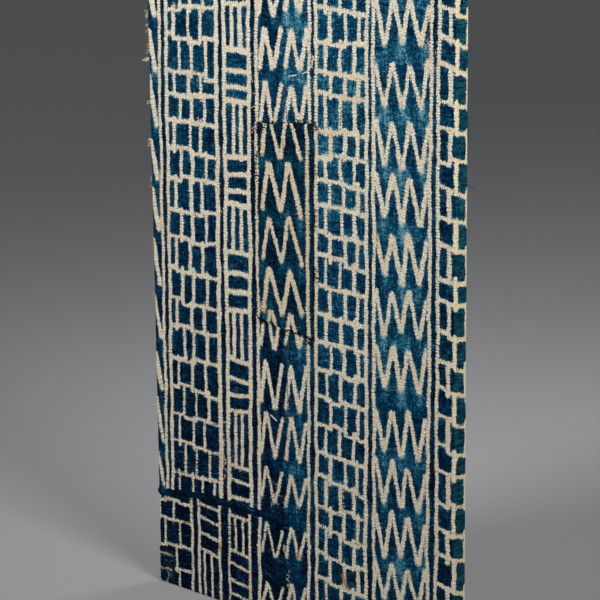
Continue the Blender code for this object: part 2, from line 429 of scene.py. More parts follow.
def zigzag(at, shares, head, foot, begins_high, slack=3.5, seep=0.5, width=LEG):
    """A row of legs that turn at its head and foot by turns."""
    points = []
    for k, share in enumerate(shares):
        high = (k % 2 == 0) == begins_high
        across = at(share + shake(0.012), foot)
        up = (head if high else foot) + shake(slack)
        blunt = hand.uniform(0.8, 2.0) if 0 < k < len(shares) - 1 else 0.0
        points.append((across - blunt, up))
        if blunt:
            points.append((across + blunt, up + shake(1.5)))
        if high:
            blur(across, up + 6, 5.0, 8, seep * hand.random() * 0.8)
        else:
            blur(across, up - 9, 5.5, 15, seep * (0.35 + hand.random()))
    middle = at((shares[0] + shares[-1]) / 2, foot)
    blur(middle, foot - 9, 13.0 + shake(3), 11, seep * hand.uniform(0.1, 0.5))
    line(width, *points)


zig_left = column((-25.0, -27.0), (15.0, 12.0))
cells_left = column((34.0, 26.5), (124.0, 116.8))
rungs = column((137.2, 131.2), (180.4, 170.6))
peaks = column((193.6, 184.6), (280.8, 268.6))
cells_middle = column((291.0, 282.6), (370.6, 363.6))
peaks_right = column((379.0, 377.6), (466.0, 459.5))
cells_right = column((476.6, 472.4), (519.0, 518.0))
margin_right = column((528.0, 527.0), (556.0, 556.0))

borders(zig_left, None, CLOTH_HEAD, (1.12, 4.4))
ZIG_ROWS = (
    (884, 838), (825, 779), (768, 722), (703, 656), (650, 591), (569, 522),
    (505, 460), (442, 392), (375, 324), (301, 256), (239, 189), (171, 130),
)
ZIG_LEGS = (0.02, 0.30, 0.62, 0.93)
for head, foot in ZIG_ROWS:
    zigzag(zig_left, ZIG_LEGS, head, foot, True, 2.0, 0.5, 7.8)

borders(cells_left, None, CLOTH_HEAD, (0.0, 5.4), (1.0, 6.3))
LEFT_ROWS = (
    880, 845, 808, 772, 733, 697, 654, 627, 598, 561, 526, 488, 450, 414, 373,
    339, 302, 264, 228, 190, 153,
)
LEFT_POSTS = ((0.16, 0.45, 0.69), (0.27, 0.50, 0.77))
LOWEST_POSTS = (0.14, 0.42, 0.62, 0.86)
LOWEST_HEAD = 156
fence(cells_left, LEFT_ROWS, LEFT_POSTS, 4.2, 3.0)
for share in LOWEST_POSTS:
    foot = cells_left(share, 140)
    line(POST, (cells_left(share, LOWEST_HEAD), LOWEST_HEAD), (foot, tuck_at(foot)))

borders(rungs, None, CLOTH_HEAD, (0.0, 6.3), (1.0, 5.6))
RUNG_BARS = (
    870, 852, 833, 765, 743, 688, 665, 645, 628, 562, 541, 521, 505, 447, 421,
    399, 377, 315, 291, 272, 252, 181, 163, 142,
)
RUNG_BLOCKS = ((830, 770), (741, 690), (628, 562), (503, 449), (375, 318), (250, 183))
ladder(rungs, RUNG_BARS, RUNG_BLOCKS, (0.33, 0.63), 1.1)

borders(peaks, CLOTH_FOOT, CLOTH_HEAD, (0.0, 4.6), (1.0, 4.7))
PEAK_ROWS = (
    (845, 890), (788, 832), (737, 775), (672, 717), (605, 652), (540, 588),
    (474, 522), (409, 456), (344, 391), (271, 323), (208, 256), (151, 189),
    (84, 122), (12, 50), (-40, -8),
)
PEAK_LEGS = ((0.06, 0.16, 0.33, 0.48), (0.55, 0.67, 0.81, 0.95))
for foot, head in PEAK_ROWS:
    lower = 4 if foot < 130 else 0
    wide = 6.3 if foot > 660 else LEG
    zigzag(peaks, PEAK_LEGS[0], head - lower, foot, False, 3.0, 0.45, wide)
    zigzag(peaks, PEAK_LEGS[1], head, foot + 3, False, 3.0, 0.8, wide)

borders(cells_middle, CLOTH_FOOT, CLOTH_HEAD, (0.0, 5.4), (1.0, 4.8))
MIDDLE_ROWS = (
    878, 840, 806, 773, 740, 707, 672, 646, 608, 577, 549, 520, 488, 457, 425,
    391, 357, 327, 293, 259, 226, 193, 161, 130, 100, 70, 38, 6, -26,
)
MIDDLE_POSTS = ((0.29, 0.58, 0.84), (0.20, 0.49, 0.77))
fence(cells_middle, MIDDLE_ROWS, MIDDLE_POSTS, 3.8, 7.0)

borders(peaks_right, CLOTH_FOOT, CLOTH_HEAD, (0.0, 4.8), (1.0, 5.0))
RIGHT_FEET = (835, 773, 710, 644, 578, 516, 452, 388, 326, 250, 191, 128, 70, 8, -50)
RIGHT_LEGS = (0.05, 0.20, 0.35, 0.51, 0.64, 0.83, 0.95)
RIGHT_RISE = 46
for foot in RIGHT_FEET:
    zigzag(peaks_right, RIGHT_LEGS, foot + RIGHT_RISE, foot, True, 5.0, 1.0)

borders(cells_right, CLOTH_FOOT, CLOTH_HEAD, (0.0, 4.8))
EDGE_TOP = 878
EDGE_PITCH = 32.1
EDGE_ROWS = tuple(round(EDGE_TOP - EDGE_PITCH * k) for k in range(29))
fence(cells_right, EDGE_ROWS, ((0.38, 0.99), (0.59,)), 4.5, 13.0, 5.8)
borders(margin_right, CLOTH_FOOT, CLOTH_HEAD, (0.0, 4.0))
fence(margin_right, EDGE_ROWS, ((0.4,), (0.6,)), 3.0, 0.0)

# Below the tuck a piece with other columns is set in, up to the seam at the third one.
set_cells = column((-46.0, -46.0), (66.0, 62.0))
set_slants = column((78.5, 75.0), (117.0, 113.4))
set_rungs = column((134.0, 131.2), (175.0, 167.8))
borders(set_cells, CLOTH_FOOT, None, (0.02, 4.0), (1.0, 6.0))
SET_ROWS = (112, 86, 54, 21, -12)
SLANT_BARS = (120, 102, 82, 62)
SET_BARS = (70, 54, 32, 15, -4, -24)
fence(set_cells, SET_ROWS, ((0.18, 0.42, 0.70), (0.28, 0.54, 0.78)), 3.4, -3.0)
borders(set_slants, CLOTH_FOOT, None, (0.0, 6.0), (1.0, 6.0))
for up in SLANT_BARS:
    line(BAR, (set_slants(0, up), up + 1), (set_slants(1, up), up - 5 + shake(1.5)))
for share in (0.26, 0.60):
    line(POST, (set_slants(share, 60), 59), (set_slants(share, 0), CLOTH_FOOT))
borders(set_rungs, CLOTH_FOOT, None, (0.0, 5.2), (1.0, 6.0))
line(BAR, (set_rungs(0, 116), 117), (set_rungs(1, 116), 117))
for share in (0.30, 0.66):
    line(POST, (set_rungs(share, 110), 117), (set_rungs(share, 70), 71))
for up in SET_BARS:
    line(BAR, (set_rungs(0, up), up + 2), (set_rungs(1, up), up - 2 + shake(1.5)))


def shaken(points):
    """A line's points, with more between them, each a little off its course."""
    course = [points[0]]
    for (a, b), (c, d) in zip(points, points[1:]):
        count = max(1, round(math.hypot(c - a, d - b) / SHAKE_STEP))
        for k in range(1, count + 1):
            share = k / count
            loose = 0.0 if k == count else 0.75
            course.append((a + (c - a) * share + shake(loose), b + (d - b) * share + shake(loose)))
    return course


def thinned(across, up):
    """Lines are thinner low down, on the left most, where the stitches held less tight."""
    low = smooth((430 - up) / 300)
    return 1 - float(low * (0.10 + 0.22 * smooth((320 - across) / 170)))


def resist_field(across, up, lines):
    """How far inside the nearest line each point lies, and how far along that line."""
    inside = np.full(len(across), -LINE_REACH)
    along = np.zeros(len(across))
    for width, points in lines:
        course = shaken(points)
        heft = width / 2 * hand.uniform(0.90, 1.12) * thinned(*course[len(course) // 2])
        halves = [heft * hand.uniform(0.82, 1.18) for _ in course]
        low = np.min(course, axis=0) - LINE_REACH - width
        high = np.max(course, axis=0) + LINE_REACH + width
        near = (across > low[0]) & (across < high[0]) & (up > low[1]) & (up < high[1])
        index = np.nonzero(near)[0]
        travelled = hand.uniform(0.0, 10.0)
        for (a, b), (c, d), half, next_half in zip(course, course[1:], halves, halves[1:]):
            length = max(math.hypot(c - a, d - b), 0.01)
            off_a, off_b = across[index] - a, up[index] - b
            share = (off_a * (c - a) + off_b * (d - b)) / length**2
            share = np.clip(share, 0.0, 1.0)
            far = np.hypot(off_a - share * (c - a), off_b - share * (d - b))
            depth = half + (next_half - half) * share - far
            better = depth > inside[index]
            chosen = index[better]
            inside[chosen] = depth[better]
            along[chosen] = travelled + share[better] * length
            travelled += length
    return inside, along


def clouds(across, up, spots):
    """How much each place is clouded by soft spots, such as those where dye seeped in."""
    cloud = np.zeros(len(across))
    for middle, height, wide, high, strength in spots:
        near = (np.abs(across - middle) < 3 * wide) & (np.abs(up - height) < 3 * high)
        off = ((across[near] - middle) / wide) ** 2 + ((up[near] - height) / high) ** 2
        cloud[near] += strength * np.exp(-off)
    return np.clip(cloud, 0.0, 1.0)


# How pale the ground is at each column's sides or middle, and in the dark gaps between
# columns, inside the set-in piece and on the tuck, which hides the lines under it.
SET_IN_REACH = 234.0
SET_IN_TONE = 0.10
TUCK_TONE = 0.22
HIDDEN_FROM = 0.25
GROUND = (
    # across, tone at the head, tone at the foot
    (-46.0, 0.34, 0.20),
    (8.0, 0.44, 0.26),
    (24.0, 0.16, 0.12),
    (34.0, 0.46, 0.20),
    (75.0, 0.46, 0.18),
    (120.0, 0.42, 0.18),
    (130.0, 0.22, 0.13),
    (139.0, 0.44, 0.16),
    (172.0, 0.46, 0.16),
    (186.0, 0.20, 0.12),
    (196.0, 0.34, 0.14),
    (228.0, 0.32, 0.12),
    (242.0, 0.56, 0.34),
    (272.0, 0.52, 0.30),
    (286.0, 0.26, 0.18),
    (294.0, 0.58, 0.44),
    (360.0, 0.56, 0.42),
    (375.0, 0.36, 0.26),
    (384.0, 0.52, 0.38),
    (456.0, 0.50, 0.36),
    (470.0, 0.32, 0.22),
    (482.0, 0.34, 0.30),
    (500.0, 0.36, 0.28),
    (546.0, 0.42, 0.24),
)


def ground_field(across, up):
    """How pale the indigo is: 0 is nearly black, 1 is teal."""
    places = [row[0] for row in GROUND]
    head = np.interp(across, places, [row[1] for row in GROUND])
    foot = np.interp(across, places, [row[2] for row in GROUND])
    tone = foot + (head - foot) * smooth((up - 60) / 640)
    crest = tuck_height(across * MM) / MM
    tone = np.where((across < SET_IN_REACH) & (up < crest), SET_IN_TONE, tone)
    on_tuck = smooth(1.9 - np.abs(up - crest) / 2.3) * smooth((SET_IN_REACH + 6 - across) / 12)
    return tone + (TUCK_TONE - tone) * on_tuck, on_tuck


points = np.concatenate([outer_points, inner_points])
across = np.concatenate([outer_across, inner_across]) / MM
up = np.concatenate([outer_up, inner_up]) / MM
inside, along = resist_field(across, up, chart)
ground, hidden = ground_field(across, up)
inside = np.where(hidden > HIDDEN_FROM, -LINE_REACH * hidden, inside)
seeped = clouds(across, up, blurs)

first_inner = len(outer_points)
faces = outer_faces + [[first_inner + i for i in reversed(face)] for face in inner_faces]
for k, start in enumerate(inner_rim):
    stop = inner_rim[(k + 1) % len(inner_rim)]
    edge = [outer_rim[(2 * k + step) % len(outer_rim)] for step in range(3)]
    faces.append([*edge, first_inner + stop, first_inner + start])


def new_piece(name, points, faces, finish):
    """A mesh object in the scene, smooth shaded, with one material."""
    mesh = bpy.data.meshes.new(name)
    mesh.from_pydata([tuple(point) for point in points], [], faces)
    mesh.materials.append(finish)
    mesh.shade_smooth()
    piece = bpy.data.objects.new(name, mesh)
    bpy.context.scene.collection.objects.link(piece)
    return piece


def keep_values(piece, values):
    """Stores named values on the piece's points for its material to read."""
    for name, numbers in values.items():
        stored = piece.data.attributes.new(name, "FLOAT", "POINT")
        stored.data.foreach_set("value", np.asarray(numbers, dtype=np.float32))


def linear(red, green, blue):
    """A colour as a screen shows it, 0 to 255, as the linear values that a shader takes."""
    shares = (red / 255, green / 255, blue / 255)
    return tuple(s / 12.92 if s <= 0.04045 else ((s + 0.055) / 1.055) ** 2.4 for s in shares)


class Wire:
    """A shader node's output. Arithmetic on it adds Math nodes."""

    def __init__(self, finish, socket):
        self.finish = finish
        self.socket = socket

    def maths(self, operation, *values):
        settings = {"operation": operation}
        return self.finish.node("ShaderNodeMath", settings, dict(enumerate(values)))

    def __add__(self, other):
        return self.maths("ADD", self, other)

    def __sub__(self, other):
        return self.maths("SUBTRACT", self, other)

    def __rsub__(self, other):
        return self.maths("SUBTRACT", other, self)

    def __mul__(self, other):
        return self.maths("MULTIPLY", self, other)

    def __truediv__(self, other):
        return self.maths("DIVIDE", self, other)

    __radd__ = __add__
    __rmul__ = __mul__

    def sine(self):
        return self.maths("SINE", self)

    def rise(self, low, high):
        """0 up to low, 1 from high, and a soft slope between."""
        settings = {"interpolation_type": "SMOOTHSTEP"}
        inputs = {"Value": self, "From Min": low, "From Max": high}
        return self.finish.node("ShaderNodeMapRange", settings, inputs)


class Finish:
    """A material, written from its textures to its Principled shader, in screen colours."""

    def __init__(self, name, roughness, specular):
        self.material = bpy.data.materials.new(name)
        self.material.use_nodes = True
        self.tree = self.material.node_tree
        self.shader = self.tree.nodes["Principled BSDF"]
        self.shader.inputs["Roughness"].default_value = roughness
        self.shader.inputs["Specular IOR Level"].default_value = specular

    def fill(self, socket, value):
        if isinstance(value, Wire):
            self.tree.links.new(value.socket, socket)
        elif isinstance(value, tuple) and socket.type == "RGBA":
            socket.default_value = (*linear(*value), 1.0)
        else:
            socket.default_value = value

    def node(self, kind, settings, inputs, output=0):
        """A node of this type, with its settings and then its sockets' values or links."""
        made = self.tree.nodes.new(kind)
        for name, value in settings.items():
            if name == "stops":
                ramp = made.color_ramp
                while len(ramp.elements) < len(value):
                    ramp.elements.new(1.0)
                for element, (place, colour) in zip(ramp.elements, value):
                    element.position = place
                    element.color = (*linear(*colour), 1.0)
            else:
                setattr(made, name, value)
        for key, value in inputs.items():
            self.fill(made.inputs[key], value)
        return Wire(self, made.outputs[output])

    def stored(self, name):
        """One of the values kept on the piece's points."""
        return self.node("ShaderNodeAttribute", {"attribute_name": name}, {}, "Fac")

    def noise(self, place, detail=2.0, roughness=0.5):
        """Noise from 0 to 1, its cells about one unit wide, at a place of three numbers."""
        vector = self.node("ShaderNodeCombineXYZ", {}, dict(enumerate(place)))
        inputs = {"Vector": vector, "Scale": 1.0, "Detail": detail, "Roughness": roughness}
        return self.node("ShaderNodeTexNoise", {"noise_dimensions": "3D"}, inputs, "Fac")

    def mix(self, share, first, second):
        inputs = {0: share, 6: first, 7: second}
        return self.node("ShaderNodeMix", {"data_type": "RGBA"}, inputs, 2)

    def ramp(self, value, stops):
        return self.node("ShaderNodeValToRGB", {"stops": stops}, {0: value}, "Color")

    def bump(self, height, strength, distance):
        inputs = {"Height": height, "Strength": strength, "Distance": distance}
        return self.node("ShaderNodeBump", {}, inputs, "Normal")

    def set(self, name, value):
        self.fill(self.shader.inputs[name], value)


RAGGED = 5.0
INDIGO = (
    (0.0, (0, 8, 26)),
    (0.22, (0, 26, 51)),
    (0.45, (2, 50, 79)),
    (0.65, (13, 77, 103)),
    (0.85, (60, 120, 138)),
    (1.0, (112, 154, 162)),
)


def resist_cotton(name, indigo, cream, tan, ragged=RAGGED):
    """Hand-spun cotton, dyed indigo but for the lines that were stitched up tight."""
    finish = Finish(name, 0.95, 0.02)
    across, up = finish.stored("across"), finish.stored("up")
    inside, along = finish.stored("inside"), finish.stored("along")
    tone, seeped = finish.stored("ground"), finish.stored("seeped")
    # How far each point faces sideways, for the painted light on the frame's sides.
    side = finish.stored("side")

    blotch = finish.noise((across / 34, up / 52, 1.7), 3.0)
    warp = finish.noise((across / 2.3, up / 26, 4.1), 3.0, 0.6)
    weft = finish.noise((across / 12, up / 2.1, 8.3), 3.0, 0.6)
    slub = finish.noise((across / 2.9, up / 2.5, 2.9), 3.0, 0.65)
    fleck = finish.noise((across / 4.2, up / 3.4, 5.5), 3.0, 0.6)
    grain = finish.noise((across / 1.5, up / 1.4, 7.2), 1.0)
    haze = finish.noise((across / 8, up / 13, 3.3), 2.0)

    pace = finish.noise((along / 6, blotch, 5.1), 1.0)
    bead = (along * (2 * math.pi / 3.3) + pace * 11).sine()
    teeth = bead * (0.62 - across * 0.0005) * (0.4 + blotch.rise(0.25, 0.65) * 0.8)
    edge = inside + teeth + (slub - 0.5) * ragged + (grain - 0.5) * 1.5
    soft = 0.42 + seeped * 2.6 + haze.rise(0.5, 0.75) * 0.6
    resist = (edge / soft).rise(-1.0, 1.0)
    bled = edge.rise(-4.2, 0.3) * (0.10 + haze.rise(0.42, 0.70) * 0.24)

    tone = tone - 0.08 + (blotch - 0.5) * 0.60 + (warp - 0.5) * 0.80 + (weft - 0.5) * 0.70
    tone = tone + (fleck - 0.5) * 1.25 + (grain - 0.5) * 1.00 + seeped * 0.42 + bled
    blue = finish.ramp(tone, indigo)
    lint = finish.noise((across / 1.5, up / 1.1, 9.4), 1.0)
    blue = finish.mix(lint.rise(0.68, 0.80) * (0.12 + haze * 0.5), blue, (150, 176, 178))
    worn = finish.noise((across / 17, up / 1.25, 0.6), 2.0)
    floats = worn.rise(0.60, 0.74) * haze.rise(0.38, 0.62) * 0.42
    blue = finish.mix(floats, blue, (96, 148, 170))
    # On the faces that turn left and right the indigo is painted greener, with lighter weft
    # streaks as painted highlights: painted light for the sides, which the lamps light differently
    # from the front.
    painted_weft_highlights = (weft + grain * 0.5 + haze * 0.4).rise(0.75, 1.20)
    painted_side_tint = finish.mix(painted_weft_highlights, (0, 32, 50), (36, 104, 110))
    blue = finish.mix(side * 0.50, blue, painted_side_tint)
    ribs = slub + grain * 0.7 + bead * 0.11 - 0.05
    pale = finish.mix(ribs.rise(0.50, 1.05), cream[0], cream[1])
    pale = finish.mix(blotch.rise(0.52, 0.75) * 0.45, pale, tan)
    # Small dark brown specks on the pale lines: stitch holes, and painted shade in the small gaps
    # where the stitched lines pucker.
    hole_and_pucker_shade = finish.noise((across / 1.6, up / 1.9, 6.6), 1.0)
    pale = finish.mix(hole_and_pucker_shade.rise(0.64, 0.76) * 0.60, pale, (124, 98, 68))
    # The cream on the sides is painted yellower, for the light that falls there.
    pale = finish.mix(side * 0.5, pale, (214, 198, 152))
    colour = finish.mix(resist, blue, pale)
    rust = (finish.stored("rust") * (0.5 + slub * 0.7) - (1 - resist) * 0.22).rise(0.02, 0.85)
    colour = finish.mix(rust, colour, (176, 122, 48))
    finish.set("Base Color", colour)

    threads = (across * (2 * math.pi / 1.15)).sine() * (up * (2 * math.pi / 1.05)).sine()
    relief = threads * 0.16 + warp * 0.4 + weft * 0.35 + slub * 0.7 + resist * 0.35
    finish.set("Normal", finish.bump(relief, 0.7, 0.0006))
    return finish.material


cloth_finish = resist_cotton(
    "indigo resist-dyed cotton",
    INDIGO,
    ((180, 166, 138), (234, 226, 204)),
    (210, 184, 144),
)
cloth = new_piece("resist_dyed_cloth", points, faces, cloth_finish)
# How far each point faces sideways: the share of painted light that the finish gives the frame's
# sides.
painted_side_light = smooth(np.concatenate([sideways, np.zeros(len(inner_points))]) * 1.4 - 0.4)
RUST_SPOTS = (
    # across, up, wide, high, strength
    (252.6, 91.5, 3.2, 3.6, 1.40),
    (326.0, 85.0, 2.6, 3.4, 1.10),
    (329.0, 80.0, 2.8, 3.4, 1.20),
    (332.4, 74.6, 3.2, 3.6, 1.10),
    (336.4, 70.4, 3.6, 3.0, 0.80),
    (114.6, 70.0, 3.0, 5.5, 1.00),
    (502.0, 150.0, 6.0, 40.0, 0.22),
)
keep_values(
    cloth,
    {
        "across": across,
        "up": up,
        "inside": inside,
        "along": along,
        "ground": ground,
        "seeped": seeped,
        "side": painted_side_light,
        "rust": clouds(across, up, RUST_SPOTS),
    },
)
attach(cloth, "root")
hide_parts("cloth")

# The repair patch: a piece of a darker, older ndop, laid over the third column with its
# edges turned under and whipped down by hand. Its own zigzags don't meet the cloth's.
PATCH_LEFT = 188.0
PATCH_RIGHT = 283.0
PATCH_TOP = (607.0, 612.0)
PATCH_BOTTOM = (373.0, 361.0)
PATCH_THICKNESS = 0.0013
PATCH_WANDER = 1.2
SEAT = 0.0004
HEM_WIDTH = 3.6
HEM_RISE = 0.0004
HEM_FALL = 0.0009
PATCH_STEP = 2.1
PATCH_GROUND = 0.25
PATCH_RAGGED = 6.2

chart.clear()
blurs.clear()
patch_column = column((PATCH_LEFT, PATCH_LEFT), (PATCH_RIGHT, PATCH_RIGHT))
borders(patch_column, 340, 630, (0.030, 4.6), (0.922, 4.8))
PATCH_ROWS = ((622, 571), (561, 507), (497, 446), (436, 388), (384, 338))
PATCH_LEGS = (0.125, 0.25, 0.46, 0.60, 0.81)
for head, foot in PATCH_ROWS:
    zigzag(patch_column, PATCH_LEGS, head, foot, False, 3.0, 0.9, 5.9)


def spaced(length, step):
    """Stations along a sheet, closer together at both its edges."""
    edge = [0.0, 0.35, 1.0, 2.0]
    middle = evenly(edge[-1], length - edge[-1], step)[1:-1]
    return np.array(edge + middle + [length - e for e in reversed(edge)])


def thin_sheet(outer, out, thickness):
    """Points and faces of a closed sheet, from a grid of outer points and directions."""
    rows, columns = outer.shape[:2]
    points = np.concatenate([outer.reshape(-1, 3), (outer - thickness * out).reshape(-1, 3)])
    under = rows * columns
    faces = []
    for square in squares(columns, rows):
        quad = [r * columns + c for c, r in square]
        faces += [quad, [under + i for i in reversed(quad)]]
    rim = list(range(columns - 1))
    rim += [r * columns + columns - 1 for r in range(rows - 1)]
    rim += [(rows - 1) * columns + c for c in range(columns - 1, 0, -1)]
    rim += [r * columns for r in range(rows - 1, 0, -1)]
    for a, b in zip(rim, rim[1:] + rim[:1]):
        faces.append([b, a, under + a, under + b])
    return points, faces


def hem(edge_distance):
    """How far a turned-under edge stands out, and how it rolls down at its rim."""
    risen = HEM_RISE * (1 - smooth((edge_distance - HEM_WIDTH + 1) / 1.4))
    return risen - HEM_FALL * (1 - smooth(edge_distance / 1.1))


patch_wide = PATCH_RIGHT - PATCH_LEFT
patch_tall = PATCH_TOP[0] - PATCH_BOTTOM[0]
side_places, up_places = spaced(patch_wide, PATCH_STEP), spaced(patch_tall, PATCH_STEP)
side_grid, up_grid = np.meshgrid(side_places, up_places)
side_share, up_share = side_grid / patch_wide, up_grid / patch_tall
patch_low = PATCH_BOTTOM[0] + (PATCH_BOTTOM[1] - PATCH_BOTTOM[0]) * side_share
patch_high = PATCH_TOP[0] + (PATCH_TOP[1] - PATCH_TOP[0]) * side_share
patch_up = patch_low + (patch_high - patch_low) * up_share
patch_across = PATCH_LEFT + side_grid
from_side = np.minimum(side_grid, patch_wide - side_grid)
from_end = np.minimum(up_grid, patch_tall - up_grid)
at_side, at_end = 1 - smooth(from_side / 8), 1 - smooth(from_end / 8)
patch_across = patch_across + at_side * (
    PATCH_WANDER * np.sin(patch_up / 19 + 2 * np.round(side_share)) + 0.4 * np.sin(patch_up / 3.1)
)
patch_up = patch_up + at_end * (
    PATCH_WANDER * np.sin((patch_across - 250) / 13 + np.round(up_share))
    + 0.5 * np.sin(patch_across / 2.7)
)
patch_x, patch_z = patch_across * MM - HALF_WIDTH, patch_up * MM
lift = SEAT + PATCH_THICKNESS + hem(np.minimum(from_side, from_end))
lift = lift + front_relief(patch_x, patch_z) + puckers(patch_across * MM, patch_up * MM)
patch_outer = np.stack([patch_x, FRONT - lift, patch_z], axis=-1)
patch_out = np.zeros_like(patch_outer)
patch_out[..., 1] = -1.0
patch_points, patch_faces = thin_sheet(patch_outer, patch_out, PATCH_THICKNESS - HEM_FALL / 2)
patch_finish = resist_cotton(
    "darker indigo patch",
    (
        (0.0, (0, 12, 26)),
        (0.22, (0, 30, 52)),
        (0.45, (2, 52, 76)),
        (0.65, (10, 76, 94)),
        (0.85, (52, 112, 126)),
        (1.0, (104, 146, 150)),
    ),
    ((182, 164, 132), (222, 210, 182)),
    (206, 168, 118),
    PATCH_RAGGED,
)
repair_patch = new_piece("repair_patch_cloth", patch_points, patch_faces, patch_finish)


def keep_cloth_values(piece, across, up, ground):
    """Works out the pattern on a small piece of cloth and stores what its finish reads."""
    across, up = np.tile(across.ravel(), 2), np.tile(up.ravel(), 2)
    inside, along = resist_field(across, up, chart)
    none = np.zeros(len(across))
    values = {"across": across, "up": up, "inside": inside, "along": along}
    values.update(seeped=clouds(across, up, blurs), ground=none + ground, side=none, rust=none)
    keep_values(piece, values)


keep_cloth_values(repair_patch, patch_across, patch_up, PATCH_GROUND)
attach(repair_patch, "root")
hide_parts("repair_patch")

# The corner patch: a faded scrap that is bent round the lower left fold and darned down
# there, where the cloth had worn through. Two thin pale lines cross it.
CORNER_PATCH_FRONT = 27.0
CORNER_PATCH_SIDE = 14.0
CORNER_PATCH_BOTTOM = 3.0
CORNER_PATCH_TOP = 46.0
CORNER_THICKNESS = 0.0011
CORNER_STEP = 1.1
CORNER_GROUND = 0.36
CORNER_TOP_HEM = 0.0006

chart.clear()
blurs.clear()
line(2.6, (-14, 39), (2, 39.5), (14, 40), (27, 39))
line(2.2, (-14, 20), (-2, 21), (6, 18), (15, 21), (23, 20))
line(1.6, (14, 19), (17, 13), (14, 5))
line(1.4, (-6, 20), (-8, 10), (-5, 3))
for across, up, wide, high, strength in (
    (4, 33, 3, 2, 0.5),
    (15, 29, 4, 1.6, 0.6),
    (21, 12, 3, 3, 0.5),
    (8, 10, 2.4, 4, 0.4),
    (-7, 30, 3, 5, 0.4),
):
    blur(across, up, wide, high, strength)

fold_reach = (FOLD_RADIUS + SEAT + CORNER_THICKNESS) / MM
fold_length = fold_reach * math.pi / 2
front_length = CORNER_PATCH_FRONT - FOLD_RADIUS / MM
side_length = CORNER_PATCH_SIDE - FOLD_RADIUS / MM
path_places = spaced(front_length + fold_length + side_length, CORNER_STEP)
corner_places = spaced(CORNER_PATCH_TOP - CORNER_PATCH_BOTTOM, CORNER_STEP)
path, height = np.meshgrid(path_places, corner_places)
turn = np.clip((path - front_length) / fold_reach, 0.0, math.pi / 2)
before = np.clip(front_length - path, 0.0, None)
after = np.clip(path - front_length - fold_length, 0.0, None)
from_edge = np.minimum.reduce(
    [path, path_places[-1] - path, height, corner_places[-1] - height]
)
top_hem = CORNER_TOP_HEM * (1 - smooth((corner_places[-1] - height - 3.2) / 1.2))
raised = (hem(from_edge) + top_hem) / MM * 0.8
reach = fold_reach + raised
corner_out = np.stack([-np.sin(turn), -np.cos(turn), 0 * turn], axis=-1)
corner_outer = np.stack(
    [
        -HALF_WIDTH + (FOLD_RADIUS / MM + before - reach * np.sin(turn)) * MM,
        FRONT + (FOLD_RADIUS / MM + after - reach * np.cos(turn)) * MM,
        (CORNER_PATCH_BOTTOM + height + 0.4 * np.sin(path / 2.3) * (height > 30)) * MM,
    ],
    axis=-1,
)
corner_points, corner_faces = thin_sheet(corner_outer, corner_out, CORNER_THICKNESS * 0.6)
corner_finish = resist_cotton(
    "faded indigo scrap",
    (
        (0.0, (0, 8, 22)),
        (0.25, (2, 24, 44)),
        (0.45, (8, 42, 62)),
        (0.65, (40, 76, 92)),
        (0.85, (92, 118, 130)),
        (1.0, (136, 152, 154)),
    ),
    ((158, 146, 116), (196, 184, 154)),
    (166, 146, 112),
)
corner_patch = new_piece("corner_patch_cloth", corner_points, corner_faces, corner_finish)
corner_across, corner_up = CORNER_PATCH_FRONT - path, height + CORNER_PATCH_BOTTOM
keep_cloth_values(corner_patch, corner_across, corner_up, CORNER_GROUND)
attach(corner_patch, "root")
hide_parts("corner_patch")

# The mending stitches: black thread whips the big patch's edges and the tuck down and
# darns the corner patch, and brown thread closes small splits beside the seams.
THREAD_SIDES = 5
BLACK_RADIUS = 0.00060
BROWN_RADIUS = 0.00066
STITCH_RISE = 0.0007
STITCH_DIVE = 0.0004
ON_CLOTH = 0.0002
ON_TUCK = 0.0004
ON_CORNER = 0.0012


def front_point(across, up, lift):
    """A point over the front, in metres, from millimetres across and up."""
    x, z = across * MM - HALF_WIDTH, up * MM
    relief = float(front_relief(np.array([x]), np.array([z]))[0])
    return Vector((x, FRONT - relief - lift, z))


def thread_cotton(name, dark, light):
    """Two-ply thread: its plies wind round it, with painted shade in their grooves and painted
    highlight on their crests, and its colour varies along its length.
    """
    finish = Finish(name, 0.85, 0.12)
    along, turn = finish.stored("along"), finish.stored("turn")
    ply = (along * (2 * math.pi / 1.3) + turn * (4 * math.pi)).sine()
    patchy = finish.noise((along / 3.1, turn, 1.3), 2.0)
    # The ply spiral paints shade in the grooves and highlight on the crests; the patchy noise is
    # the thread's own uneven colour, from dark to light.
    finish.set("Base Color", finish.mix((ply * 0.25 + patchy).rise(0.3, 0.8), dark, light))
    finish.set("Normal", finish.bump(ply, 0.5, 0.0002))
    return finish.material


def new_threads(name, runs, radius, finish):
    """One mesh of many thin round threads, each along its own run of points."""
    points, faces, along, turn = [], [], [], []
    for run in runs:
        first = len(points)
        travelled = 0.0
        for k, point in enumerate(run):
            course = (run[min(k + 1, len(run) - 1)] - run[max(k - 1, 0)]).normalized()
            side = course.orthogonal().normalized()
            over = course.cross(side)
            thick = radius * (0.55 if k in (0, len(run) - 1) else 1.0)
            travelled += (point - run[k - 1]).length / MM if k else 0.0
            for s in range(THREAD_SIDES):
                angle = 2 * math.pi * s / THREAD_SIDES
                points.append(point + thick * (side * math.cos(angle) + over * math.sin(angle)))
                along.append(travelled)
                turn.append(s / THREAD_SIDES)
        for k in range(len(run) - 1):
            for s in range(THREAD_SIDES):
                a, b = first + k * THREAD_SIDES, first + (k + 1) * THREAD_SIDES
                t = (s + 1) % THREAD_SIDES
                faces.append([a + s, a + t, b + t, b + s])
        last = first + (len(run) - 1) * THREAD_SIDES
        faces.append([first + s for s in reversed(range(THREAD_SIDES))])
        faces.append([last + s for s in range(THREAD_SIDES)])
    piece = new_piece(name, points, faces, finish)
    keep_values(piece, {"along": along, "turn": turn})
    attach(piece, "root")


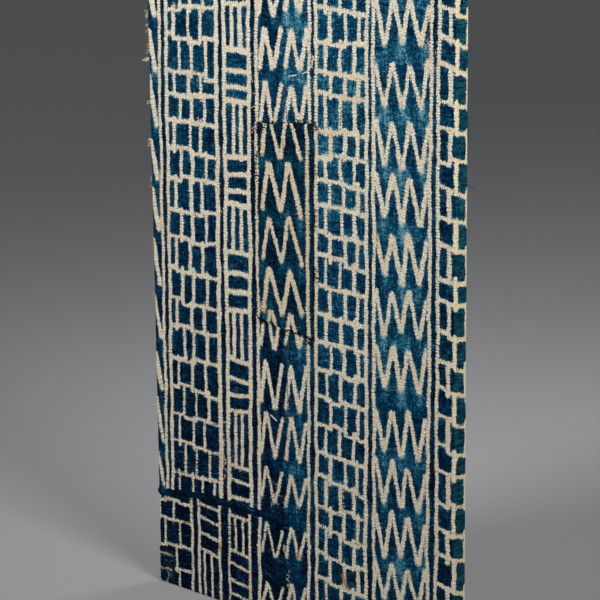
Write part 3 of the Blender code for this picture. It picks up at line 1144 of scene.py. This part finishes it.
def stitch(start, stop, base):
    """One stitch over the cloth: it dives in at both ends and arches a little between."""
    run = []
    for share in (0.0, 0.12, 0.5, 0.88, 1.0):
        across = start[0] + (stop[0] - start[0]) * share
        up = start[1] + (stop[1] - start[1]) * share
        rise = STITCH_RISE * (1 - (2 * share - 1) ** 2) - STITCH_DIVE
        run.append(front_point(across, up, base + rise))
    return run


patch_surface = SEAT + PATCH_THICKNESS
patch_rim = 0.75 * patch_surface
black_runs = []
for end, level in ((PATCH_TOP, 1), (PATCH_BOTTOM, -1)):
    across = PATCH_LEFT + 1
    while across < PATCH_RIGHT:
        share = (across - PATCH_LEFT) / patch_wide
        edge = end[0] + (end[1] - end[0]) * share
        inner = (across + shake(1.2), edge - level * hand.uniform(2.4, 4.2))
        outer_end = (across + hand.uniform(0.5, 3.0), edge + level * hand.uniform(1.2, 2.6))
        black_runs.append(stitch(inner, outer_end, patch_rim))
        across += hand.uniform(1.7, 4.2)
for side, level in ((PATCH_LEFT, -1), (PATCH_RIGHT, 1)):
    up = PATCH_BOTTOM[0] + 6
    while up < PATCH_TOP[0] - 4:
        inner = (side - level * hand.uniform(1.8, 3.2), up)
        outer_end = (side + level * hand.uniform(0.8, 2.0), up + hand.uniform(1.0, 3.4))
        black_runs.append(stitch(inner, outer_end, patch_rim))
        up += hand.uniform(3.4, 7.5)
for up in range(6, 46, 3):
    begin = (CORNER_PATCH_FRONT - hand.uniform(1.5, 3.0), up + shake(1))
    stop = (CORNER_PATCH_FRONT + hand.uniform(1, 2), up + shake(1.5))
    black_runs.append(stitch(begin, stop, ON_CORNER))
for across in range(3, 27, 3):
    begin = (across, CORNER_PATCH_TOP - 2.6)
    stop = (across + shake(1.5), CORNER_PATCH_TOP + 1.4)
    black_runs.append(stitch(begin, stop, ON_CORNER))
across = 3.0
while across < TUCK_LENGTH / MM - 4:
    crest = tuck_at(across)
    stop = (across + hand.uniform(1.5, 4.0), crest - 6.0)
    black_runs.append(stitch((across, crest - 1.5), stop, ON_TUCK))
    across += hand.uniform(4.0, 9.0)
DARNS = (
    # across, up, how many, step up
    (192.0, 601.0, 14, 0.7),
    (203.0, 603.5, 12, 0.6),
    (228.0, 606.5, 8, 0.5),
    (262.0, 610.0, 16, 0.8),
    (279.0, 607.0, 14, 0.9),
    (287.0, 612.0, 8, 1.6),
    (188.5, 564.0, 8, 2.6),
    (190.0, 597.0, 5, 0.8),
    (189.6, 567.0, 7, 0.7),
    (189.4, 545.0, 5, 0.7),
    (284.5, 560.0, 8, 3.0),
    (285.0, 505.0, 7, 4.0),
    (286.0, 440.0, 8, 3.0),
    (196.0, 371.0, 9, 0.6),
    (234.0, 363.0, 6, 0.7),
    (272.0, 358.0, 7, 0.7),
)
for middle, height, count, step in DARNS:
    for k in range(count):
        begin = (middle + shake(3.4), height + (k - count / 2) * step + shake(1))
        stop = (begin[0] + hand.uniform(2, 5), begin[1] + shake(2.2))
        black_runs.append(stitch(begin, stop, patch_surface + ON_CLOTH))
black_cotton = thread_cotton("black mending thread", (5, 8, 16), (18, 22, 34))
new_threads("black_whip_stitches", black_runs, BLACK_RADIUS, black_cotton)

brown_runs = []
BROWN_SEAMS = (
    # across at the foot and the head, up from, up to, length of a stitch
    (240.4, 236.6, 614, 654, 4.4),
    (241.0, 238.0, 616, 650, 5.2),
    (238.0, 236.0, 560, 590, 2.6),
    (327.6, 328.6, 610, 634, 2.8),
    (237.0, 238.0, 232, 352, 2.2),
    (328.4, 327.4, 166, 190, 2.4),
    (190.5, 191.8, 536, 574, 3.0),
    (123.5, 124.0, 440, 470, 2.4),
    (459.0, 460.0, 700, 742, 2.4),
    (384.0, 383.0, 478, 508, 2.6),
)
for foot_across, head_across, low, high, length in BROWN_SEAMS:
    up = float(low)
    while up < high:
        share = (up - low) / (high - low)
        across = foot_across + (head_across - foot_across) * share + shake(0.6)
        on_patch = PATCH_LEFT < across < PATCH_RIGHT and PATCH_BOTTOM[0] < up < PATCH_TOP[0]
        base = patch_surface if on_patch else ON_CLOTH
        begin = (across - 0.7, up)
        brown_runs.append(stitch(begin, (across + 0.9 + shake(0.5), up + length * 0.8), base))
        up += length * hand.uniform(1.0, 1.9)
brown_cotton = thread_cotton("brown mending thread", (50, 46, 26), (126, 110, 74))
new_threads("brown_seam_stitches", brown_runs, BROWN_RADIUS, brown_cotton)

# Loose ends: a white basting thread that was never pulled out, blue ends at the right
# side, and the pale fibres that fray out at worn lines and along the left fold.
WHITE_RADIUS = 0.00062
FIBRE_RADIUS = 0.00032
BLUE_RADIUS = 0.00048
CURL_STEPS = 7
FRAY_LIFT = 0.0001
FRAY_LENGTHS = (0.002, 0.0055)
WHITE_STITCHES = (
    # from across and up, to across and up
    ((243.0, 663.6), (258.6, 666.6)),
    ((266.6, 668.0), (275.0, 671.6)),
    ((275.4, 671.8), (283.4, 678.8)),
    ((283.0, 679.0), (286.0, 690.0)),
    ((207.0, 258.0), (219.0, 251.6)),
)
BLUE_ENDS = (
    # behind the front, up, course, length, sag, curl
    (0.0130, 0.706, (0.75, 0.66, 0.05), 0.0155, 0.0012, 0.0012),
    (0.0160, 0.708, (0.80, 0.58, -0.10), 0.0080, 0.0010, 0.0010),
    (0.0180, 0.655, (0.03, 0.03, -1.0), 0.0420, 0.0, 0.0012),
    (0.0090, 0.616, (0.12, -0.10, -1.0), 0.0160, 0.0, 0.0012),
)
BLUE_HOOK = (
    # off the right side, behind the front, up
    (-0.0002, 0.0160, 0.5650),
    (0.0022, 0.0178, 0.5628),
    (0.0042, 0.0196, 0.5604),
    (0.0064, 0.0212, 0.5600),
    (0.0082, 0.0224, 0.5614),
)


def curly(start, course, length, sag, curl):
    """A short loose end that leaves its start along a course, curls and droops."""
    run = []
    phase = hand.uniform(0, 6.3)
    side = course.orthogonal().normalized()
    over = course.cross(side)
    for k in range(CURL_STEPS + 1):
        share = k / CURL_STEPS
        bend = curl * share
        point = start + course * (length * share)
        point += side * (bend * math.sin(phase + 5 * share))
        point += over * (bend * math.cos(phase + 4 * share))
        point.z -= sag * share * share
        run.append(point)
    return run


white_runs = [stitch(begin, stop, ON_CLOTH) for begin, stop in WHITE_STITCHES]
pale_runs = []
FRAYS = (
    # across, up, spread across, spread up, fibres
    (128.0, 183.0, 3, 5, 9),
    (152.0, 181.0, 16, 3, 18),
    (222.0, 160.0, 16, 16, 22),
    (229.0, 94.0, 3, 5, 16),
    (124.0, 196.0, 2, 40, 18),
    (462.0, 712.0, 14, 6, 14),
    (282.0, 686.0, 3, 9, 10),
    (236.0, 56.0, 6, 12, 14),
    (47.0, 735.0, 5, 4, 8),
    (186.0, 640.0, 3, 60, 14),
    (329.0, 180.0, 3, 14, 10),
    (90.0, 600.0, 4, 10, 8),
    (124.0, 540.0, 2, 50, 16),
)
for middle, height, wide, high, count in FRAYS:
    for _ in range(count):
        start = front_point(middle + shake(wide), height + shake(high), FRAY_LIFT)
        course = Vector((shake(1.0), -0.25, shake(1.0))).normalized()
        pale_runs.append(curly(start, course, hand.uniform(*FRAY_LENGTHS), 0.0006, 0.0009))
EDGE_TUFTS = (
    # up, spread up, fibres, reach
    (668.0, 1.6, 16, 0.0100),
    (703.0, 8.0, 8, 0.0050),
    (680.0, 6.0, 8, 0.0050),
    (616.0, 3.0, 8, 0.0055),
    (566.0, 4.0, 10, 0.0060),
    (520.0, 9.0, 7, 0.0040),
    (442.0, 9.0, 4, 0.0036),
    (376.0, 7.0, 4, 0.0036),
    (300.0, 6.0, 4, 0.0030),
    (236.0, 5.0, 6, 0.0045),
    (167.0, 5.0, 6, 0.0045),
    (156.0, 4.0, 5, 0.0040),
    (722.0, 5.0, 12, 0.0050),
    (760.0, 10.0, 8, 0.0045),
    (812.0, 9.0, 8, 0.0045),
)
for height, high, count, reach in EDGE_TUFTS:
    for _ in range(count):
        start = Vector((-HALF_WIDTH - 0.0002, FRONT + 0.0018 + shake(0.0014), 0.0))
        start.z = (height + shake(high)) * MM
        course = Vector((-1.0, -0.7 + shake(0.4), shake(0.45))).normalized()
        pale_runs.append(curly(start, course, reach * hand.uniform(0.5, 1.0), 0.0010, 0.0015))
white_cotton = thread_cotton("white cotton thread", (214, 206, 188), (246, 242, 230))
new_threads("white_basting_thread", white_runs, WHITE_RADIUS, white_cotton)
pale_cotton = thread_cotton("frayed cotton fibres", (200, 182, 150), (240, 230, 208))
new_threads("frayed_fibres", pale_runs, FIBRE_RADIUS, pale_cotton)
right_side = HALF_WIDTH + 0.0004
blue_runs = []
for deep, up, course, length, sag, curl in BLUE_ENDS:
    start = Vector((right_side, FRONT + deep, up))
    blue_runs.append(curly(start, Vector(course), length, sag, curl))
blue_runs.append([Vector((right_side + off, FRONT + deep, up)) for off, deep, up in BLUE_HOOK])
blue_cotton = thread_cotton("indigo cotton thread", (8, 44, 72), (40, 100, 128))
new_threads("blue_loose_ends", blue_runs, BLUE_RADIUS, blue_cotton)

# The frame: four flat bars of planed softwood, bare and unvarnished, butted at the
# corners. Only the back shows them, where the cloth's margin leaves them open.
SOFTWOOD = (
    (0.25, (170, 128, 84)),
    (0.50, (203, 166, 120)),
    (0.75, (224, 194, 150)),
)
LATE_WOOD = (120, 82, 48)
BARS = (
    # the axis that their length follows, material, nodes
    (2, "planed softwood upright", ("stile_left", "stile_right")),
    (0, "planed softwood level", ("rail_bottom", "rail_top")),
)


def planed_softwood(name, length_axis):
    """Pale wood whose grain runs along the bar, with darker late wood and fine pores."""
    finish = Finish(name, 0.62, 0.25)
    place = finish.node("ShaderNodeTexCoord", {}, {}, "Object")
    parts = [finish.node("ShaderNodeSeparateXYZ", {}, {0: place}, axis) / MM for axis in range(3)]
    lengthwise, depthwise, edgewise = parts[length_axis], parts[1], parts[2 - length_axis]
    drift = finish.noise((lengthwise / 160, edgewise / 40, depthwise / 40), 2.0)
    rings = ((edgewise + depthwise * 0.6) * 0.55 + drift * 26).sine()
    fibre = finish.noise((lengthwise / 38, edgewise / 0.7, depthwise / 0.7), 4.0, 0.6)
    pore = finish.noise((lengthwise / 9, edgewise / 0.35, depthwise / 0.35), 1.0)
    wood = finish.ramp(rings * 0.16 + fibre * 0.8 + drift * 0.3, SOFTWOOD)
    finish.set("Base Color", finish.mix(pore.rise(0.68, 0.76) * 0.4, wood, LATE_WOOD))
    finish.set("Roughness", 0.56 + fibre * 0.16)
    finish.set("Normal", finish.bump(fibre + rings * 0.12, 0.5, 0.0003))
    return finish.material


for length_axis, name, bars in BARS:
    wood = planed_softwood(name, length_axis)
    for bar in bars:
        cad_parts[bar].material_slots[0].material = wood
